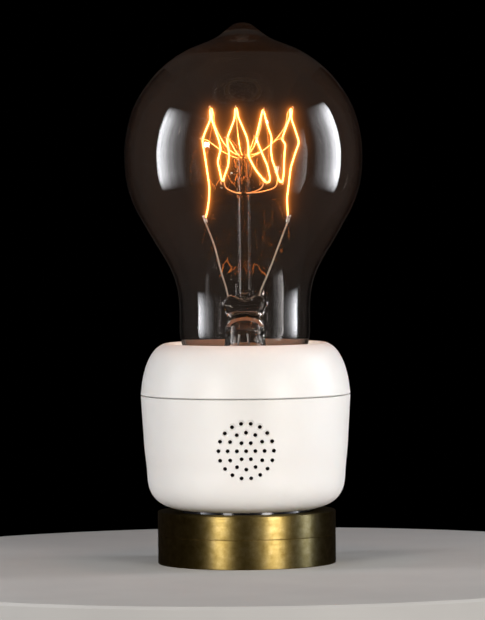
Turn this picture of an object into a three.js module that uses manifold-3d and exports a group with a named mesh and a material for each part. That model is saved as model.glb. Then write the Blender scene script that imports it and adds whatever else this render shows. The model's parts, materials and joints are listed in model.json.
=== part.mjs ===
// Clear vintage-style light bulb in a screw-in smart adapter, standing on the
// brass-collared lampholder that the adapter screws into.
// Millimetres, +Z up along the lamp's axis, Z = 0 at the collar's bottom edge,
// the adapter's round grille faces -Y.
import * as THREE from 'three';
import { mergeVertices } from 'three/addons/utils/BufferGeometryUtils.js';
import Module from 'manifold-3d';

const wasm = await Module();
wasm.setup();

// ---------------------------------------------------------------- dimensions
// Medium screw thread, 7 turns to the inch, right-handed
const PITCH = 25.4 / 7;
const THREAD_DEPTH = 0.8;      // root to crest, both halves
const MALE_ROOT_R = 12.35;     // crest 13.15
const FEMALE_MAJOR_R = 13.55;  // minor 12.75, so 0.4 mm radial clearance
const FEMALE_OUTER_R = 14.0;
const THREAD_SEGMENTS = 20;
const ROWS_PER_TURN = 4;

// The same cap-and-socket pair is used twice: the adapter's base in the
// lampholder, and the bulb's cap in the adapter's socket, this much higher
const SOCKET_RISE = 27.2;

const COLLAR_R = 22.6;
const COLLAR_H = 13.3;
const COLLAR_GROOVE_Z = 7.4;
const COLLAR_LIP_R = 17.2;

const HOLDER_R = 16.3;
const HOLDER_TOP = 25.2;
const HOLDER_FLANGE_R = 20.6;
const FLOOR_BOTTOM = 1.9;      // holder floor, and the socket's floor SOCKET_RISE above
const FLOOR_TOP = 3.3;
const LEDGE_TOP = 5.5;
const LEDGE_R = 8.8;
const CUP_R = 14.4;            // inside of both insulating cups

const TIP_Z = 5.0;             // bottom of the adapter's centre contact

// Smart adapter housing, outside profile as [radius, z]
const SEAM_Z = 42.8;
const SEAM_GAP = 0.3;
const LOWER_OUTSIDE = [
  [17.8, 13.9], [20.4, 14.8], [22.6, 16.0], [24.0, 17.5], [24.7, 19.3],
  [25.25, 23.6], [25.9, 31.0], [26.6, SEAM_Z - SEAM_GAP / 2],
];
const UPPER_OUTSIDE = [
  [26.6, SEAM_Z + SEAM_GAP / 2], [26.2, 46.4], [25.4, 49.6], [24.3, 52.4], [22.9, 54.5],
  [21.4, 55.6], [20.1, 55.9], [19.5, 55.5],
];
const WALL = 1.7;
const RECESS_R = 17.6;         // recess under the adapter that covers the lampholder
const RECESS_WALL_R = 18.8;
const CEILING_BOTTOM = 26.2;
const CEILING_TOP = 27.6;
const BASE_NECK_R = 11.45;     // moulded neck inside the adapter's screw shell
const BASE_NECK_BORE = 9.8;
const BASE_NECK_Z = 9.9;
const MOUTH_R = 19.5;          // open recess around the bulb's neck
const MOUTH_FLOOR = 51.5;
const MOUTH_FLOOR_T = 1.5;
const MOUTH_INNER_R = 16.0;

// Round grille of plain holes in the front of the lower housing
const GRILLE_Z = 29.9;
const GRILLE_RINGS = [[0, 1], [2.3, 6], [4.6, 12], [6.9, 18]];  // [ring radius, holes]
const GRILLE_HOLE_R = 0.55;

// Housing screws
const SCREW_ANGLES = [30, 150, 270];
const SCREW_RING_R = 17.75;
const BOSS_R = 1.75;
const BOSS_TOP = 49.6;

// Boards
const BOARD_Z = 29.3;
const BOARD_T = 1.4;
const BOARD_R = 23.5;
const BOARD_BORE = 16.5;
const PARTS_Z = BOARD_Z + BOARD_T + 0.3;
const PARTS_RING_R = 20.1;

// Glass envelope, outside profile as [radius, z]
const GLASS_WALL = 0.8;
const GLASS_OUTSIDE = [
  [10.6, 44.0], [10.6, 53.2], [12.6, 54.8], [14.8, 55.6], [16.1, 56.9], [16.55, 58.8],
  [16.6, 66.7], [17.5, 71.8], [19.8, 76.9], [22.8, 81.9], [25.8, 87.0], [28.3, 92.1],
  [29.7, 97.2], [30.15, 102.5], [29.95, 107.3], [28.9, 112.4], [26.9, 117.5], [23.5, 122.5],
  [18.1, 127.6], [12.5, 130.9], [8.0, 132.6], [5.3, 134.2], [2.6, 136.3], [0, 137.1],
];
const GLASS_INSIDE = [
  [0, 132.2], [7.5, 131.4], [17.2, 126.9], [22.7, 122.0], [28.0, 112.1], [29.15, 107.0],
  [29.35, 102.5], [28.85, 97.4], [25.0, 87.4], [19.0, 77.3], [16.7, 72.2], [15.8, 66.8],
  [15.75, 58.9], [14.6, 56.8], [11.8, 55.4], [9.8, 53.4], [9.8, 44.0],
];
const STEM_TOP = 67.4;
const ARBOR_R = 1.8;
const ARBOR_TOP = 105.4;
const LOWER_HUB_Z = 93.9;
const MID_HUB_Z = 99.6;
const UPPER_HUB_Z = 103.4;
const FILAMENT_R = 0.2;
const SUPPORT_R = 0.2;
const LEAD_R = 0.3;

// Filament route as [x, y, z]: up and down between the hooks, front half of a cage
const PEAKS = [[-8.0, -9.7, 115.4], [-1.75, -12.5, 115.4], [5.05, -11.5, 114.8], [12.1, -3.5, 115.2]];
const VALLEYS = [[-5.4, -9.4, 96.7], [5.5, -9.3, 96.6], [9.4, -5.4, 96.5]];
const KINKS = [[-10.3, -7.2, 107.4], [-4.1, -13.6, 107.6], [3.2, -13.8, 107.9], [9.7, -10.4, 107.4]];

// ------------------------------------------------------------------- helpers
function shell(geometry) {
  // position only, shared vertices merged, slivers dropped, faces pointing out
  const flat = geometry.index ? geometry.toNonIndexed() : geometry.clone();
  flat.deleteAttribute('normal');
  flat.deleteAttribute('uv');
  const merged = mergeVertices(flat, 1e-4);
  const source = merged.index.array;
  const kept = [];
  for (let i = 0; i < source.length; i += 3) {
    const [a, b, c] = [source[i], source[i + 1], source[i + 2]];
    if (a !== b && b !== c && c !== a) kept.push(a, b, c);
  }
  const p = merged.attributes.position;
  let volume = 0;
  const [u, v, w] = [new THREE.Vector3(), new THREE.Vector3(), new THREE.Vector3()];
  for (let i = 0; i < kept.length; i += 3) {
    u.fromBufferAttribute(p, kept[i]);
    v.fromBufferAttribute(p, kept[i + 1]);
    w.fromBufferAttribute(p, kept[i + 2]);
    volume += u.dot(v.cross(w));
  }
  if (volume < 0) {
    for (let i = 0; i < kept.length; i += 3) [kept[i + 1], kept[i + 2]] = [kept[i + 2], kept[i + 1]];
  }
  merged.setIndex(kept);
  return merged;
}

function solid(geometry) {
  const g = shell(geometry);
  return new wasm.Manifold(new wasm.Mesh({
    numProp: 3,
    vertProperties: new Float32Array(g.attributes.position.array),
    triVerts: new Uint32Array(g.index.array),
  }));
}

function fromSolid(body) {
  const m = body.getMesh();
  const g = new THREE.BufferGeometry();
  const xyz = new Float32Array((m.vertProperties.length / m.numProp) * 3);
  for (let i = 0; i < xyz.length / 3; i++) {
    for (let k = 0; k < 3; k++) xyz[3 * i + k] = m.vertProperties[i * m.numProp + k];
  }
  g.setAttribute('position', new THREE.BufferAttribute(xyz, 3));
  g.setIndex([...m.triVerts]);
  return g;
}

function turned(profile, segments = 32) {
  // a lathe about Z: the profile runs from axis to axis, or is closed here
  const first = profile[0];
  const last = profile[profile.length - 1];
  const points = profile.map(([r, z]) => new THREE.Vector2(r, z));
  if (first[0] > 1e-9 || last[0] > 1e-9) points.push(points[0].clone());
  return new THREE.LatheGeometry(points, segments).rotateX(Math.PI / 2);
}

function ramp(z, z0, z1) {
  // 0 outside z0..z1, rising to 1 over half a turn at each end
  const run = PITCH / 2;
  return Math.max(0, Math.min(1, (z - z0) / run, (z1 - z) / run));
}

function threadRows(z0, z1) {
  const count = Math.round(((z1 - z0) / PITCH) * ROWS_PER_TURN);
  return Array.from({ length: count + 1 }, (_, i) => z0 + ((z1 - z0) * i) / count);
}

function threaded(geometry, surfaceR, z0, z1, inwards) {
  // presses the helix into the plain surface at radius surfaceR
  const p = geometry.attributes.position;
  for (let i = 0; i < p.count; i++) {
    const [x, y, z] = [p.getX(i), p.getY(i), p.getZ(i)];
    const r = Math.hypot(x, y);
    if (Math.abs(r - surfaceR) > 1e-3) continue;
    const wave = Math.cos((2 * Math.PI * z) / PITCH - Math.atan2(y, x));
    const shift = (ramp(z, z0, z1) * THREAD_DEPTH * (inwards ? wave - 1 : wave + 1)) / 2;
    p.setXY(i, (x * (r + shift)) / r, (y * (r + shift)) / r);
  }
  return geometry;
}

function box(w, d, h, x = 0, y = 0, z = 0) {
  return new THREE.BoxGeometry(w, d, h).translate(x, y, z + h / 2);
}

function rod(r, h, x = 0, y = 0, z = 0, sides = 16) {
  return new THREE.CylinderGeometry(r, r, h, sides).rotateX(Math.PI / 2).translate(x, y, z + h / 2);
}

function circle(r, sides) {
  const s = new THREE.Shape();
  for (let i = 0; i < sides; i++) {
    const a = (2 * Math.PI * i) / sides;
    if (i) s.lineTo(r * Math.cos(a), r * Math.sin(a));
    else s.moveTo(r, 0);
  }
  s.closePath();
  return s;
}

function wire(points, r, steps, sides = 6) {
  const path = new THREE.CatmullRomCurve3(points.map((q) => new THREE.Vector3(...q)), false, 'centripetal');
  return new THREE.ExtrudeGeometry(circle(r, sides), { steps, bevelEnabled: false, extrudePath: path });
}

function extrudedXZ(points, width) {
  // an outline in X and Z, given thickness along Y, centred on Y = 0
  const s = new THREE.Shape(points.map(([x, z]) => new THREE.Vector2(x, z)));
  return new THREE.ExtrudeGeometry(s, { depth: width, bevelEnabled: false }).rotateX(Math.PI / 2).translate(0, width / 2, 0);
}

const object = new THREE.Group();

function add(name, geometry, look, place = null) {
  const g = geometry.isBufferGeometry ? shell(geometry) : fromSolid(geometry);
  g.computeVertexNormals();
  const mesh = new THREE.Mesh(g, new THREE.MeshStandardMaterial(look));
  mesh.name = name;
  if (place) {
    mesh.position.set(...(place.at ?? [0, 0, 0]));
    mesh.rotation.z = ((place.turn ?? 0) * Math.PI) / 180;
  }
  object.add(mesh);
  return mesh;
}

const polar = (degrees, r, z = 0) => [
  r * Math.cos((degrees * Math.PI) / 180), r * Math.sin((degrees * Math.PI) / 180), z];

// ----------------------------------------------------------------- materials
const BRASS = { color: 0x8a6a36, roughness: 0.3, metalness: 1 };
const SPRING_BRASS = { color: 0xc8a45a, roughness: 0.35, metalness: 1 };
const NICKEL = { color: 0xb9b6ae, roughness: 0.3, metalness: 1 };
const STEEL = { color: 0x8d9096, roughness: 0.4, metalness: 1 };
const WHITE = { color: 0xf6f1ea, roughness: 0.22, metalness: 0 };
const PORCELAIN = { color: 0xe6e0d4, roughness: 0.35, metalness: 0 };
const BLACK_GLASS = { color: 0x18181a, roughness: 0.15, metalness: 0 };
const GREEN_BOARD = { color: 0x1f5a3a, roughness: 0.5, metalness: 0 };
const CLEAR = { color: 0xe8e0d6, roughness: 0.03, metalness: 0, transparent: true, opacity: 0.3 };
const GLOW = { color: 0xffb050, roughness: 0.6, metalness: 0, emissive: 0xff8a20 };

// --------------------------------------------------- cap and socket, shared
function screwShell(rise, flared) {
  // male cap: thin at the root, thread outside, plain inside
  const z0 = 10.2 + rise;
  const z1 = 24.6 + rise;
  const top = flared ? 54.1 : 25.7;
  const outside = [[11.85, 8.8 + rise], [12.3, 9.3 + rise]];
  for (const z of threadRows(z0, z1)) outside.push([MALE_ROOT_R, z]);
  const upper = flared
    ? [[MALE_ROOT_R, 52.8], [12.9, 53.4], [12.9, top], [12.45, top], [12.45, 53.6], [11.85, 53.0]]
    : [[MALE_ROOT_R, top], [11.85, top]];
  return threaded(turned([...outside, ...upper], THREAD_SEGMENTS), MALE_ROOT_R, z0, z1, false);
}

function socketShell(rise) {
  // female shell: flange on the ledge, thread inside, plain outside
  const z0 = 7.5 + rise;
  const z1 = 23.4 + rise;
  const inside = threadRows(z0, z1).map((z) => [FEMALE_MAJOR_R, z]).reverse();
  const profile = [
    [10.4, 5.8 + rise], [FEMALE_OUTER_R, 5.8 + rise], [FEMALE_OUTER_R, 24.6 + rise],
    [13.65, 24.6 + rise], ...inside, [13.5, 6.25 + rise], [10.4, 6.25 + rise],
  ];
  return threaded(turned(profile, THREAD_SEGMENTS), FEMALE_MAJOR_R, z0, z1, true);
}

function centreContact(rise) {
  return turned([
    [0, TIP_Z + rise], [2.6, TIP_Z + 0.1 + rise], [4.3, TIP_Z + 0.6 + rise], [4.75, TIP_Z + 1.2 + rise],
    [4.75, TIP_Z + 1.8 + rise], [0, TIP_Z + 1.8 + rise]], 16);
}

function capInsulator(rise) {
  return turned([
    [5.1, 5.95 + rise], [6.6, 6.3 + rise], [11.0, 8.3 + rise], [11.4, 8.8 + rise], [11.4, 9.6 + rise],
    [5.1, 9.6 + rise]], 16);
}

function contactLeaf(rise) {
  const t = 0.35;
  const line = [[-7.4, 3.6], [-3.4, 3.6], [-0.8, 4.25], [1.2, 4.3], [3.6, 4.05]];
  const outline = [...line.map(([x, z]) => [x, z + rise]), ...line.map(([x, z]) => [x, z + t + rise]).reverse()];
  return solid(extrudedXZ(outline, 4.6)).subtract(solid(rod(1.15, 2, -5.6, 0, 3 + rise, 12)));
}

function leafRivet(rise) {
  return turned([
    [0, 1.0 + rise], [1.5, 1.0 + rise], [1.5, 1.6 + rise], [0.8, 1.6 + rise], [0.8, 4.25 + rise],
    [1.7, 4.25 + rise], [1.5, 4.75 + rise], [0, 4.9 + rise]], 12);
}

function shellScrew(rise) {
  return turned([
    [0, 2.4 + rise], [0.75, 2.4 + rise], [0.75, 6.55 + rise], [1.35, 6.55 + rise], [1.2, 7.3 + rise],
    [0, 7.4 + rise]], 12);
}

const screwAt = [0, 12.05, 0];
const rivetAt = [-5.6, 0, 0];

function cup(profile, rise) {
  return solid(turned(profile, 28))
    .subtract(solid(rod(1.15, 6, ...rivetAt.slice(0, 2), rise, 12)))
    .subtract(solid(rod(1.1, 8, ...screwAt.slice(0, 2), 2.0 + rise, 12)));
}

// ---------------------------------------------------------------- lampholder
add('brass_collar', turned([
  [21.2, 0], [22.3, 0], [COLLAR_R, 0.3], [COLLAR_R, COLLAR_GROOVE_Z - 0.3],
  [COLLAR_R - 0.3, COLLAR_GROOVE_Z - 0.12], [COLLAR_R - 0.3, COLLAR_GROOVE_Z + 0.12],
  [COLLAR_R, COLLAR_GROOVE_Z + 0.3], [COLLAR_R, COLLAR_H - 0.35], [COLLAR_R - 0.35, COLLAR_H],
  [COLLAR_LIP_R, COLLAR_H], [COLLAR_LIP_R, COLLAR_H - 1.2], [21.2, COLLAR_H - 1.2],
], 32), BRASS);

const fixing = [[18.45, 0], [-18.45, 0]];
let plate = solid(rod(20.8, 1.3, 0, 0, 0.3, 32));
for (const [x, y] of fixing) plate = plate.subtract(solid(rod(1.25, 4, x, y, -1, 12)));
plate = plate.subtract(solid(rod(3.2, 4, -5.6, 0, -1, 16)));
add('base_plate', plate, STEEL);

let holder = cup([
  [0, FLOOR_BOTTOM], [HOLDER_FLANGE_R, FLOOR_BOTTOM], [HOLDER_FLANGE_R, 3.7], [HOLDER_R, 3.7],
  [HOLDER_R, HOLDER_TOP], [CUP_R, HOLDER_TOP], [CUP_R, LEDGE_TOP], [LEDGE_R, LEDGE_TOP],
  [LEDGE_R, FLOOR_TOP], [0, FLOOR_TOP],
], 0);
for (const [x, y] of fixing) holder = holder.subtract(solid(rod(1.25, 6, x, y, 0, 12)));
add('holder_body', holder, BLACK_GLASS);
fixing.forEach(([x, y], i) => add(
  `holder_screw_${i ? 'left' : 'right'}`,
  turned([[0, 0.5], [0.9, 0.5], [0.9, 4.0], [1.8, 4.0], [1.6, 5.0], [0, 5.2]], 14), STEEL, { at: [x, y, 0] },
));
add('holder_screw_shell',
  solid(socketShell(0)).subtract(solid(rod(1.1, 3, ...screwAt.slice(0, 2), 5, 12))), SPRING_BRASS);
add('holder_shell_screw', shellScrew(0), STEEL, { at: screwAt });
add('holder_contact_leaf', contactLeaf(0), SPRING_BRASS);
add('holder_leaf_rivet', leafRivet(0), SPRING_BRASS, { at: rivetAt });

// ------------------------------------------------------- smart adapter, base
add('base_contact', centreContact(0), NICKEL);
add('base_insulator', capInsulator(0), BLACK_GLASS);
add('base_screw_shell', screwShell(0, false), NICKEL);

// --------------------------------------------------- smart adapter, housings
const inset = (profile, by) => profile.map(([r, z]) => [r - by, z]);
const lowerInside = [
  [24.85, SEAM_Z - 0.15], [24.85, 44.4], [24.2, 44.4], [24.2, 42.0],
  ...inset(LOWER_OUTSIDE.slice(4, -1), WALL).reverse(), [21.4, 17.0], [RECESS_WALL_R, 16.1],
];
let lower = solid(turned([
  [BASE_NECK_BORE, BASE_NECK_Z], [BASE_NECK_R, BASE_NECK_Z], [BASE_NECK_R, CEILING_BOTTOM],
  [RECESS_R, CEILING_BOTTOM], [RECESS_R, 14.3], ...LOWER_OUTSIDE, ...lowerInside,
  [RECESS_WALL_R, CEILING_TOP], [BASE_NECK_BORE, CEILING_TOP],
], 32));
for (const a of SCREW_ANGLES) {
  const [x, y] = polar(a, SCREW_RING_R);
  lower = lower.add(solid(rod(BOSS_R, BOSS_TOP - 27.0, x, y, 27.0, 12)));
  lower = lower.subtract(solid(rod(1.05, 12, x, y, 40.5, 12)));
}
const drills = [];
for (const [ring, count] of GRILLE_RINGS) {
  for (let i = 0; i < count; i++) {
    const a = (2 * Math.PI * i) / count;
    drills.push(new THREE.CylinderGeometry(GRILLE_HOLE_R, GRILLE_HOLE_R, 8, 6)
      .translate(ring * Math.cos(a), -24.6, GRILLE_Z + ring * Math.sin(a)));
  }
}
for (const d of drills) lower = lower.subtract(solid(d));
add('lower_housing', lower, WHITE);

const mouthWall = 1.3;
let upper = solid(turned([
  ...UPPER_OUTSIDE, [MOUTH_R, MOUTH_FLOOR], [MOUTH_INNER_R, MOUTH_FLOOR],
  [MOUTH_INNER_R, MOUTH_FLOOR - MOUTH_FLOOR_T], [MOUTH_R + mouthWall, MOUTH_FLOOR - MOUTH_FLOOR_T],
  [MOUTH_R + mouthWall, 53.6], [22.6, 52.2], [24.0, 49.0], [25.2, 45.2],
  [25.2, SEAM_Z + SEAM_GAP / 2],
], 32));
for (const a of SCREW_ANGLES) {
  const [x, y] = polar(a, SCREW_RING_R);
  upper = upper.subtract(solid(rod(1.05, 6, x, y, 48, 12)));
}
add('upper_housing', upper, WHITE);
SCREW_ANGLES.forEach((a, i) => add(
  `housing_screw_${i + 1}`,
  turned([[0, 41.5], [0.75, 41.5], [0.75, 51.8], [1.4, 51.8], [1.25, 52.7], [0, 52.9]], 12),
  STEEL, { at: polar(a, SCREW_RING_R) },
));
add('grille_mesh', new THREE.CylinderGeometry(8.3, 8.3, 0.4, 28).translate(0, -21.95, GRILLE_Z),
  { color: 0x2a2723, roughness: 0.8, metalness: 0.1 });

// -------------------------------------------------- smart adapter, its socket
let seat = cup([
  [0, FLOOR_BOTTOM + SOCKET_RISE], [14.2, FLOOR_BOTTOM + SOCKET_RISE], [14.2, 27.9], [15.6, 27.9],
  [15.6, 51.3], [CUP_R, 51.3], [CUP_R, LEDGE_TOP + SOCKET_RISE], [LEDGE_R, LEDGE_TOP + SOCKET_RISE],
  [LEDGE_R, FLOOR_TOP + SOCKET_RISE], [0, FLOOR_TOP + SOCKET_RISE],
], SOCKET_RISE);
for (const a of [0, 90, 180, 225]) {
  seat = seat.subtract(solid(box(6, 2.4, 2, 14.9, 0, 27.1).rotateZ((a * Math.PI) / 180)));
}
add('socket_insulator', seat, PORCELAIN);
add('socket_screw_shell',
  solid(socketShell(SOCKET_RISE)).subtract(solid(rod(1.1, 3, ...screwAt.slice(0, 2), 5 + SOCKET_RISE, 12))),
  SPRING_BRASS);
add('socket_shell_screw', shellScrew(SOCKET_RISE), STEEL, { at: screwAt });
add('socket_contact_leaf', contactLeaf(SOCKET_RISE), SPRING_BRASS);
add('socket_leaf_rivet', turned([
  [0, 29.0], [0.8, 29.0], [0.8, 31.45], [1.7, 31.45], [1.5, 31.95], [0, 32.1]], 12), SPRING_BRASS, { at: rivetAt });

// ---------------------------------------------------- smart adapter, circuits
let board = solid(rod(BOARD_R, BOARD_T, 0, 0, BOARD_Z, 40)).subtract(solid(rod(BOARD_BORE, 4, 0, 0, BOARD_Z - 1, 36)));
for (const a of SCREW_ANGLES) board = board.subtract(solid(rod(2.15, 4, ...polar(a, SCREW_RING_R).slice(0, 2), BOARD_Z - 1, 12)));
board = board.subtract(solid(box(60, 8, 4, 0, -24.9, BOARD_Z - 1)));
add('main_board', board, GREEN_BOARD);

const onRing = (name, angle, geometry, look) => add(name, geometry, look, { at: polar(angle, PARTS_RING_R, PARTS_Z), turn: angle });
onRing('bulk_capacitor_1', -32, turned([[0, 0], [3.2, 0], [3.2, 0.9], [2.95, 1.3], [3.2, 1.7], [3.2, 13.6], [2.9, 14], [0, 14]], 18),
  { color: 0x1c1c22, roughness: 0.35, metalness: 0.1 });
onRing('bulk_capacitor_2', -8, turned([[0, 0], [3.2, 0], [3.2, 0.9], [2.95, 1.3], [3.2, 1.7], [3.2, 13.6], [2.9, 14], [0, 14]], 18),
  { color: 0x1c1c22, roughness: 0.35, metalness: 0.1 });
onRing('choke', 52, turned([[0, 0], [3.1, 0], [3.1, 1.2], [2.3, 1.4], [2.3, 7.6], [3.1, 7.8], [3.1, 9], [0, 9]], 16),
  { color: 0x3a3836, roughness: 0.6, metalness: 0.2 });
onRing('bridge_rectifier', 130, box(4, 5, 2.4), { color: 0x202022, roughness: 0.5, metalness: 0 });
onRing('transformer', 174, box(6.4, 9.5, 9.5), { color: 0xd8b23a, roughness: 0.5, metalness: 0 });
onRing('mains_capacitor', 206, box(5.4, 9.5, 9), { color: 0xd9b02c, roughness: 0.45, metalness: 0 });
onRing('varistor', 233, new THREE.CylinderGeometry(3.3, 3.3, 2.4, 16).translate(0, 0, 3.3), { color: 0x2a4f8c, roughness: 0.4, metalness: 0 });
onRing('fuse', -56, new THREE.CylinderGeometry(1.5, 1.5, 6.5, 12).translate(0, 0, 1.5), { color: 0xd8cfb8, roughness: 0.3, metalness: 0 });
add('dimmer_transistor', box(6.2, 2.6, 8.5), { color: 0x1d1d20, roughness: 0.5, metalness: 0 }, { at: [-6.2, -18.6, PARTS_Z] });
add('status_led', box(1.6, 1.0, 0.8), { color: 0xeef2e8, roughness: 0.3, metalness: 0 }, { at: [5.2, -19.9, PARTS_Z] });
add('radio_board', box(14, 1.0, 15), GREEN_BOARD, { at: [0, 18.6, PARTS_Z] });
add('radio_shield', box(10, 1.8, 8), NICKEL, { at: [0, 20.35, PARTS_Z + 1] });
add('controller_chip', box(5, 0.9, 5), { color: 0x17171a, roughness: 0.5, metalness: 0 }, { at: [0, 17.3, PARTS_Z + 5] });

const WIRE_Z = 28.4;
const WIRE_R = 0.45;
add('live_wire', wire([[0, 0, 7.2], [0, 0, 16], [-0.1, -0.1, 25], [-1.5, -1.5, 28.1], [-5, -5, WIRE_Z], [-12.4, -12.4, WIRE_Z]], WIRE_R, 14),
  { color: 0xb02a20, roughness: 0.5, metalness: 0 });
add('neutral_wire', wire([[8.4, 0, 10.2], [8.4, 0, 18], [8.4, 0, 25.4], [9.6, 0, 28.0], [12.4, 0, WIRE_Z], [17.6, 0, WIRE_Z]], WIRE_R, 14),
  { color: 0xd8d8d4, roughness: 0.5, metalness: 0 });
add('socket_live_wire', wire([[-6.9, 0, WIRE_Z], [-12, 0, WIRE_Z], [-17.6, 0, WIRE_Z]], WIRE_R, 3),
  { color: 0xb02a20, roughness: 0.5, metalness: 0 });
add('socket_neutral_wire', wire([[0, 10.4, WIRE_Z], [0, 14, WIRE_Z], [0, 17.6, WIRE_Z]], WIRE_R, 3),
  { color: 0xd8d8d4, roughness: 0.5, metalness: 0 });

// ---------------------------------------------------------------------- bulb
add('bulb_contact', centreContact(SOCKET_RISE), NICKEL);
add('cap_insulator', capInsulator(SOCKET_RISE), BLACK_GLASS);
add('bulb_screw_cap', screwShell(SOCKET_RISE, true), SPRING_BRASS);
add('cap_cement', turned([[10.9, 45.0], [11.55, 45.0], [11.55, 52.6], [10.9, 52.6]], 20), { color: 0xcabfa6, roughness: 0.9, metalness: 0 });
add('glass_envelope', turned([...GLASS_OUTSIDE, ...GLASS_INSIDE], 28), CLEAR);

// glass stem: flare, tube, waist and flat pinch that seals the lead wires
const stem = turned([
  [9.3, 44.4], [9.4, 45.1], [8.4, 47.2], [6.6, 50.6], [5.4, 54.0], [5.1, 57.5], [5.0, 60.6], [4.5, 62.2],
  [5.1, 63.8], [5.8, 65.4], [5.9, 66.6], [5.3, STEM_TOP], [0, STEM_TOP], [0, 44.4],
], 20);
{
  const p = stem.attributes.position;
  for (let i = 0; i < p.count; i++) {
    const z = p.getZ(i);
    const flat = Math.max(0, Math.min(1, (z - 60.4) / 3.4));
    p.setY(i, p.getY(i) * (1 - 0.68 * flat));
  }
}
const bore = turned([[0, 43.0], [8.6, 43.0], [7.4, 46.6], [5.5, 50.4], [4.3, 54.0], [3.9, 57.4], [2.6, 59.4], [0, 60.0]], 16);
add('glass_stem', solid(stem).subtract(solid(bore)), CLEAR);
add('glass_arbor', turned([
  [0, STEM_TOP + 0.3], [ARBOR_R, STEM_TOP + 0.3], [ARBOR_R, ARBOR_TOP - 1.4], [2.1, ARBOR_TOP - 0.9],
  [1.6, ARBOR_TOP - 0.2], [0, ARBOR_TOP]], 20), CLEAR);

add('lead_wire_left', wire([[-4.25, 0, 67.75], [-5.85, 0, 73.95], [-7.5, 0, 80.5], [-9.8, 0, 86.2]], LEAD_R, 6), STEEL);
add('lead_wire_right', wire([[3.8, 0, 67.75], [6.1, 0, 73.9], [8.7, 0, 80.5], [11.15, 0, 86.2]], LEAD_R, 6), STEEL);
add('filament_clamp_left', rod(0.6, 1.7, -9.8, 0, 86.55, 8), NICKEL);
add('filament_clamp_right', rod(0.6, 1.7, 11.2, 0, 86.55, 8), NICKEL);
add('lead_out_live', wire([[0.6, 0, 59.0], [1.2, 0, 50], [0.8, 0, 42], [0, 0, 34.4]], 0.3, 8), STEEL);
add('lead_out_neutral', wire([[-1.4, 0, 58.6], [-2.4, 0, 50], [-3.4, 0, 44], [-7, 0, 42.2], [-11.2, 0, 42.4]], 0.3, 10), STEEL);

// hooks: wires out of a small collar on the arbor, each ending inside its loop
function spider(hubZ, ends, arch) {
  let body = solid(turned([[2.2, hubZ - 0.5], [2.65, hubZ - 0.5], [2.65, hubZ + 0.5], [2.2, hubZ + 0.5]], 12));
  for (const [x, y, z] of ends) {
    const r = Math.hypot(x, y);
    const at = (f, h) => [(x / r) * (2.4 + (r - 2.4) * f), (y / r) * (2.4 + (r - 2.4) * f), h];
    body = body.add(solid(wire([
      at(0, hubZ), at(0.35, hubZ + (z - hubZ) * arch), at(0.8, hubZ + (z - hubZ) * 0.62), at(1, z)], SUPPORT_R, 5, 4)));
  }
  return body;
}
const inside = ([x, y, z], by, drop) => {
  const r = Math.hypot(x, y);
  return [(x * (r - by)) / r, (y * (r - by)) / r, z + drop];
};
add('upper_support_wires', spider(UPPER_HUB_Z, PEAKS.map((p) => inside(p, 0.1, -1.1)), 0.15), STEEL);
add('middle_support_wires', spider(MID_HUB_Z, KINKS.map((p) => inside(p, 0.95, 0)), 0.2), STEEL);
add('lower_support_wires', spider(LOWER_HUB_Z, VALLEYS.map((p) => inside(p, 0.2, 1.1)), 0.1), STEEL);

const loop = ([x, y, z], down) => {
  // three points that carry the wire round a hook without a sharp corner
  const r = Math.hypot(x, y);
  const [tx, ty] = [-y / r, x / r];
  const w = 0.62;
  const side = (s) => [x + s * w * tx, y + s * w * ty, z - down * 0.62];
  return tx > 0 ? [side(-1), [x, y, z], side(1)] : [side(1), [x, y, z], side(-1)];
};
add('filament', wire([
  [-9.8, 0, 88.6], [-9.2, -2.6, 95.6], [-10.2, -6.2, 104.2], KINKS[0],
  ...loop(PEAKS[0], 1), [-5.9, -12.7, 105.2], [-6.4, -11.9, 102.9], ...loop(VALLEYS[0], -1),
  [-3.6, -13.4, 104.0], KINKS[1], ...loop(PEAKS[1], 1), [1.1, -13.9, 106.9], [1.4, -13.5, 102.9],
  ...loop(VALLEYS[1], -1), [4.6, -12.8, 103.4], KINKS[2], ...loop(PEAKS[2], 1), [7.1, -12.3, 107.1],
  [6.9, -11.8, 103.4], ...loop(VALLEYS[2], -1), [10.2, -9.0, 102.9], KINKS[3], ...loop(PEAKS[3], 1),
  [14.1, -2.2, 106.3], [11.8, -1.2, 100.1], [10.9, -0.5, 92.0], [11.2, 0, 88.6],
], FILAMENT_R, 90, 4), GLOW);

export default object;
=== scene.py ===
# Looks of the clear filament bulb, its white smart adapter and the brass-collared
# lampholder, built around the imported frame. Metres, +Z up, the grille faces -Y.
import json
import math

import bpy
import numpy as np
from mathutils import Matrix, Vector

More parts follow.
